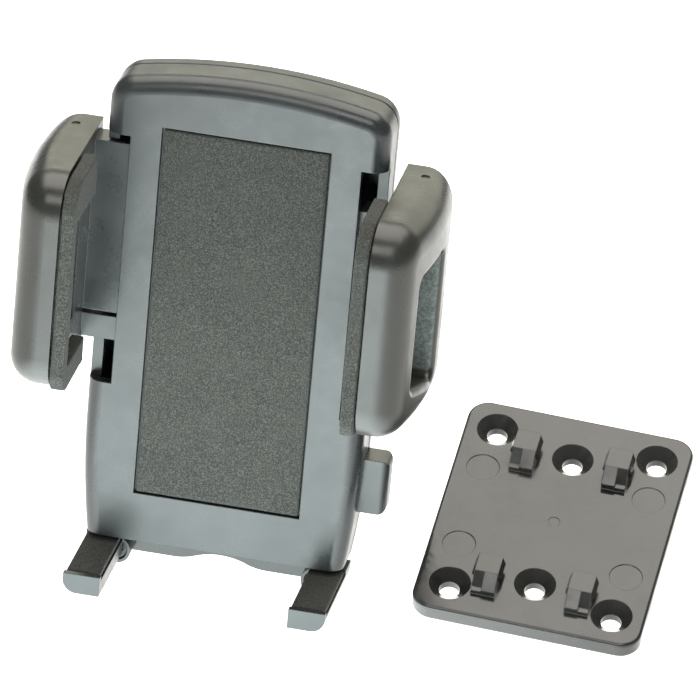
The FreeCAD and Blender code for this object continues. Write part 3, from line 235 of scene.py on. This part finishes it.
def foam(name, dark, light):
    """Closed-cell foam: dense dark ground with paler specks and painted glints, and small open cells
    darkened with painted shade.
    """
    n = Nodes(name)
    ground = n.mix(n.spread(n.noise(FOAM_PATCH_SCALE, 4.0, 0.6), 0.3, 0.7), dark, shade(dark, 1.3))
    speck = n.spread(n.noise(FOAM_SPECK_SCALE, 2.0, 0.7), 0.45, 0.65)
    # painted glints: pale spots standing in for light caught by the foam's surface
    glint = n.spread(n.noise(FOAM_GLINT_SCALE, 1.0, 0.5), 0.62, 0.73)
    specks_and_painted_glints = n.mix(n.maths("MAXIMUM", speck, glint), ground, light)
    cells = n.cells(FOAM_CELL_SCALE)
    # painted shade: the open cells are darkened where shade falls inside them
    pore_painted_shade = n.spread(cells, 0.10, 0.30, 0.6, 0.0)
    n.link(n.mix(pore_painted_shade, specks_and_painted_glints, shade(dark, 0.4)), n.shader.inputs["Base Color"])
    n.shader.inputs["Roughness"].default_value = 0.92
    n.shader.inputs["Specular IOR Level"].default_value = 0.2
    n.shader.inputs["Sheen Weight"].default_value = 0.05
    n.shader.inputs["Sheen Roughness"].default_value = 0.6
    n.bump([(n.noise(FOAM_LUMP_SCALE, 4.0, 0.6), 0.0003, 0.30), (cells, 0.00018, 0.45),
            (n.noise(FOAM_FUZZ_SCALE, 2.0, 0.6), 0.0001, 0.35)])
    return n.material


def metal(name, colour, rough, scratch_axis):
    """Plated steel with fine turning marks along one axis."""
    n = Nodes(name)
    stretch = n.add("ShaderNodeMapping")
    scale = [TURNING_MARKS_ACROSS] * 3
    scale[scratch_axis] = TURNING_MARKS_ALONG
    stretch.inputs["Scale"].default_value = scale
    n.link(n.coords, stretch.inputs["Vector"])
    marks = n.add("ShaderNodeTexNoise")
    marks.inputs["Scale"].default_value = 6.0
    marks.inputs["Detail"].default_value = 4.0
    n.link(stretch.outputs["Vector"], marks.inputs["Vector"])
    stain = n.spread(n.noise(STAIN_SCALE, 4.0, 0.6), 0.4, 0.75)
    n.link(n.mix(stain, colour, shade(colour, 0.62)), n.shader.inputs["Base Color"])
    turned = n.spread(marks.outputs["Fac"], 0.3, 0.7, rough - 0.08, rough + 0.12)
    n.link(turned, n.shader.inputs["Roughness"])
    n.shader.inputs["Metallic"].default_value = 1.0
    n.bump([(marks.outputs["Fac"], 0.00006, 0.35)], radius=SHARP_EDGE_RADIUS)
    return n.material


def acetal(name, colour):
    """Natural acetal: milky, slightly translucent, smooth."""
    n = Nodes(name)
    cloud = n.spread(n.noise(ACETAL_CLOUD_SCALE, 3.0, 0.5), 0.3, 0.7)
    n.link(n.mix(cloud, colour, shade(colour, 0.9)), n.shader.inputs["Base Color"])
    sheen = n.spread(n.noise(ACETAL_SHEEN_SCALE, 4.0, 0.6), 0.3, 0.7, 0.28, 0.42)
    n.link(sheen, n.shader.inputs["Roughness"])
    n.shader.inputs["Subsurface Weight"].default_value = 0.08
    n.shader.inputs["Subsurface Radius"].default_value = (0.0006, 0.0005, 0.0004)
    n.shader.inputs["Subsurface Scale"].default_value = 1.0
    n.bump([(n.noise(ACETAL_RIPPLE_SCALE, 3.0, 0.5), 0.00004, 0.25)], radius=SHARP_EDGE_RADIUS)
    return n.material


# the covers carry a mottled painted light colour on the rear reveal of the jaws' windows, which faces
# the front: a pale colour that stands in for the light and reflection in that recess
WINDOW_REAR_Y = -0.0158
PLATE_UNDERSIDE = (-0.0254, 0.4168, -0.9086)

SHELL = plastic("shell_plastic", dark=(0.016, 0.019, 0.020), light=(0.023, 0.027, 0.028),
                worn=(0.075, 0.080, 0.076), rough=0.29, grain=0.22)
# the pale colour at the windows' rear reveal is painted light, not the cover's own colour
COVER = plastic("cover_plastic", dark=(0.014, 0.015, 0.013), light=(0.020, 0.021, 0.018),
                worn=(0.070, 0.071, 0.064), rough=0.29, grain=0.22,
                matte_side=(0.0, -1.0, 0.0), matte_y=WINDOW_REAR_Y, painted_light_colour=(0.185, 0.220, 0.210))
ARM = plastic("arm_plastic", dark=(0.014, 0.017, 0.017), light=(0.034, 0.039, 0.038),
              worn=(0.07, 0.075, 0.07), rough=0.28, grain=0.16)
PLATE = plastic("plate_plastic", dark=(0.014, 0.014, 0.013), light=(0.030, 0.030, 0.028),
                worn=(0.08, 0.08, 0.075), rough=0.17, grain=0.06, smear=0.16,
                matte_side=PLATE_UNDERSIDE)
FOAM = foam("foam_speckled", (0.022, 0.023, 0.021), (0.080, 0.083, 0.075))
STEEL = metal("plated_steel", (0.50, 0.50, 0.51), rough=0.32, scratch_axis=2)
BLACK = metal("black_steel", (0.045, 0.045, 0.047), rough=0.36, scratch_axis=0)
WIRE = metal("spring_wire", (0.42, 0.42, 0.43), rough=0.28, scratch_axis=0)
WHITE = acetal("natural_acetal", (0.62, 0.61, 0.56))

LOOKS = {
    SHELL: ("front_shell", "rear_shell", "release_button", "foot_tray", "left_foot", "right_foot"),
    COVER: ("left_jaw_cover", "right_jaw_cover"),
    ARM: ("left_jaw_arm", "right_jaw_arm"),
    PLATE: ("mounting_plate",),
    WHITE: ("pinion", "locking_pawl"),
    BLACK: ("foot_screws", "foot_washers", "casing_screws"),
    STEEL: ("pinion_screw", "pawl_pin"),
    WIRE: ("button_spring", "drive_spring", "tray_detent_spring"),
}
for look, node_names in LOOKS.items():
    for node_name in node_names:
        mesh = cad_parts[node_name].data
        mesh.materials.clear()
        mesh.materials.append(look)


# ---------------------------------------------------------------- foam pieces

# a place across, along and through a foam sheet as x, y and z, by the axis that runs through the sheet
PLACES = {
    0: lambda across, along, through: (through, across, along),
    1: lambda across, along, through: (across, through, along),
    2: lambda across, along, through: (across, along, through),
}


def roughen(data, axis, middle, half):
    """Fine and slow unevenness of the two large faces, none at mid-thickness."""
    for vertex in data.vertices:
        spot = vertex.co.copy()
        fine_wave = noise.fractal(spot * 900, 1.0, 2.0, 3) * 0.00005
        slow_wave = noise.noise(spot * 90) * 0.00012
        spot[axis] += (spot[axis] - middle) / half * (fine_wave + slow_wave)
        vertex.co = spot


def foam_from_outline(name, outline, axis, low, high, edge, step):
    """Foam cut to an outline (two coordinates across the axis), with soft cut edges.

    It is filled with an even grid, so that the surface can carry its own fine unevenness.
    """
    mesh = bmesh.new()
    face = mesh.faces.new([mesh.verts.new(PLACES[axis](a, b, low)) for a, b in outline])
    grown = bmesh.ops.extrude_face_region(mesh, geom=[face])
    moved = [item for item in grown["geom"] if isinstance(item, bmesh.types.BMVert)]
    shift = [0.0, 0.0, 0.0]
    shift[axis] = high - low
    bmesh.ops.translate(mesh, verts=moved, vec=shift)
    bmesh.ops.recalc_face_normals(mesh, faces=mesh.faces)
    bmesh.ops.bevel(mesh, geom=list(mesh.edges), offset=edge, segments=3, profile=0.6,
                    affect="EDGES", clamp_overlap=True)
    data = bpy.data.meshes.new(name)
    mesh.to_mesh(data)
    mesh.free()
    piece = bpy.data.objects.new(name, data)
    bpy.context.scene.collection.objects.link(piece)
    remesh = piece.modifiers.new("even", "REMESH")
    remesh.mode = "VOXEL"
    remesh.voxel_size = step
    remesh.adaptivity = 0.0
    bpy.context.view_layer.update()
    graph = bpy.context.evaluated_depsgraph_get()
    fine = bpy.data.meshes.new_from_object(piece.evaluated_get(graph))
    piece.modifiers.clear()
    piece.data = fine
    fine.name = name
    roughen(fine, axis, (low + high) / 2, abs(high - low) / 2)
    for polygon in fine.polygons:
        polygon.use_smooth = True
    fine.materials.clear()
    fine.materials.append(FOAM)
    return piece


def block_outline(low, high, first, second):
    """Rectangle of a box across its two given axes."""
    return [(low[first], low[second]), (high[first], low[second]),
            (high[first], high[second]), (low[first], high[second])]


def jaw_outline(low, high):
    """C-shaped pad: a strip along the jaw's front edge, with an arm to the rear at each end."""
    strip = low.y + 2.8 * MM
    upper_arm = high.z - 7.8 * MM
    lower_arm = low.z + 5 * MM
    nose = 5.2 * MM
    chin = 3.0 * MM
    round_in = 0.28
    return [(low.y + chin, low.z), (high.y, low.z), (high.y, lower_arm),
            (strip, lower_arm), (strip, upper_arm), (high.y, upper_arm),
            (high.y, high.z), (low.y + nose, high.z),
            (low.y + round_in * nose, high.z - round_in * nose),
            (low.y, high.z - nose), (low.y, low.z + chin),
            (low.y + round_in * chin, low.z + round_in * chin)]


low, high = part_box("front_pad")
piece = foam_from_outline("front_foam", block_outline(low, high, 0, 2), 1, low.y, high.y,
                          edge=0.22 * MM, step=0.35 * MM)
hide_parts("front_pad")
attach(piece, "casing")

for side in ("left", "right"):
    low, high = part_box(side + "_jaw_pad")
    piece = foam_from_outline(side + "_jaw_foam", jaw_outline(low, high), 0, low.x, high.x,
                              edge=0.3 * MM, step=0.3 * MM)
    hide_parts(side + "_jaw_pad")
    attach(piece, side + "_jaw")

    low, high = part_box(side + "_foot_pad")
    piece = foam_from_outline(side + "_foot_foam", block_outline(low, high, 0, 1), 2, low.z, high.z,
                              edge=0.2 * MM, step=0.22 * MM)
    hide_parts(side + "_foot_pad")
    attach(piece, side + "_foot")


# ---------------------------------------------------------------- floor, lights and camera

# the tray drops 12 mm and a turned foot reaches 3.3 mm lower, so the table lies below both
FLOOR_DROP = 0.0160
FLOOR_REACH = 6.0
FLOOR_GLOW = 0.80
FRONT_GLOW = 7.6
GLOW_MIDDLE = (-0.006, -0.24)
GLOW_HALF = (0.056, 0.20)
GLOW_FADE_IN = 0.03
GLOW_FADE_OUT = 0.05


def make_floor(level):
    """White table that glows a little, and more strongly in a patch in front of the cradle."""
    data = bpy.data.meshes.new("floor")
    corners = [(-1, -1), (1, -1), (1, 1), (-1, 1)]
    data.from_pydata([(x * FLOOR_REACH, y * FLOOR_REACH, level) for x, y in corners], [], [(0, 1, 2, 3)])
    piece = bpy.data.objects.new("floor", data)
    bpy.context.scene.collection.objects.link(piece)
    n = Nodes("floor_white")
    white = n.mix(n.spread(n.noise(3, 2.0, 0.5), 0.3, 0.7), (0.86, 0.86, 0.86), (0.88, 0.88, 0.88))
    n.link(white, n.shader.inputs["Base Color"])
    across, along = (n.spread(n.away(axis, middle), half - GLOW_FADE_IN, half + GLOW_FADE_OUT, 1.0, 0.0)
                     for axis, middle, half in zip("XY", GLOW_MIDDLE, GLOW_HALF))
    inside = n.maths("MULTIPLY", across, along)
    n.link(n.mix(inside, (0.95, 1.0, 1.0), (0.86, 1.0, 1.0)), n.shader.inputs["Emission Color"])
    n.link(n.spread(inside, 0.0, 1.0, FLOOR_GLOW, FRONT_GLOW), n.shader.inputs["Emission Strength"])
    n.shader.inputs["Roughness"].default_value = 0.9
    n.shader.inputs["Specular IOR Level"].default_value = 0.1
    data.materials.append(n.material)


make_floor(cad_low.z - FLOOR_DROP)

scene = bpy.context.scene
scene.view_settings.view_transform = "Standard"
world = bpy.data.worlds.new("studio")
scene.world = world
world.use_nodes = True
background = world.node_tree.nodes["Background"]
background.inputs["Color"].default_value = (0.95, 0.98, 1.0, 1.0)
background.inputs["Strength"].default_value = 0.2


def add_light(name, place, aim, size, power, colour):
    data = bpy.data.lights.new(name, "AREA")
    data.shape = "RECTANGLE"
    data.size, data.size_y = size
    data.energy = power
    data.color = colour
    light = bpy.data.objects.new(name, data)
    light.location = place
    light.rotation_mode = "QUATERNION"
    light.rotation_quaternion = (Vector(aim) - Vector(place)).to_track_quat("-Z", "Y")
    scene.collection.objects.link(light)


add_light("overhead", place=(0.0, 0.3, 1.5), aim=(0, 0, 0), size=(2.0, 1.6), power=48.0,
          colour=(1.0, 0.96, 0.89))
add_light("front_panel", place=(0.0, -1.4, 1.3), aim=(0, 0, 0), size=(1.2, 0.7), power=13.0,
          colour=(1.0, 0.98, 0.94))
add_light("rear_panel", place=(0.2, 2.0, 0.9), aim=(0, 0, 0.1), size=(2.6, 1.0), power=16.5,
          colour=(1.0, 0.985, 0.80))

# the camera's own axes, and how far along them the middle of the cradle's front lies, in mm
RIGHT = Vector((0.97757, 0.19352, 0.08306))
UP = Vector((-0.15396, 0.38769, 0.90884))
BACK = Vector((0.14368, -0.90125, 0.40879))
SHIFT = Vector((-21.53, 4.52, -1500.0))
CRADLE_FRONT = Vector((0, -13.6, -2.0))
SENSOR_WIDTH = 36.0
FOCAL_IN_WIDTHS = 8265.0 / 700.0

camera_data = bpy.data.cameras.new("camera")
camera_data.sensor_width = SENSOR_WIDTH
camera_data.lens = FOCAL_IN_WIDTHS * SENSOR_WIDTH
camera = bpy.data.objects.new("camera", camera_data)
spot = CRADLE_FRONT - (RIGHT * SHIFT.x + UP * SHIFT.y + BACK * SHIFT.z)
turn = Matrix((RIGHT, UP, BACK)).transposed()
camera.matrix_world = Matrix.Translation(spot * MM) @ turn.to_4x4()
camera_data.clip_start = 0.05
camera_data.clip_end = 50.0
camera_data.dof.use_dof = False
scene.collection.objects.link(camera)
scene.camera = camera
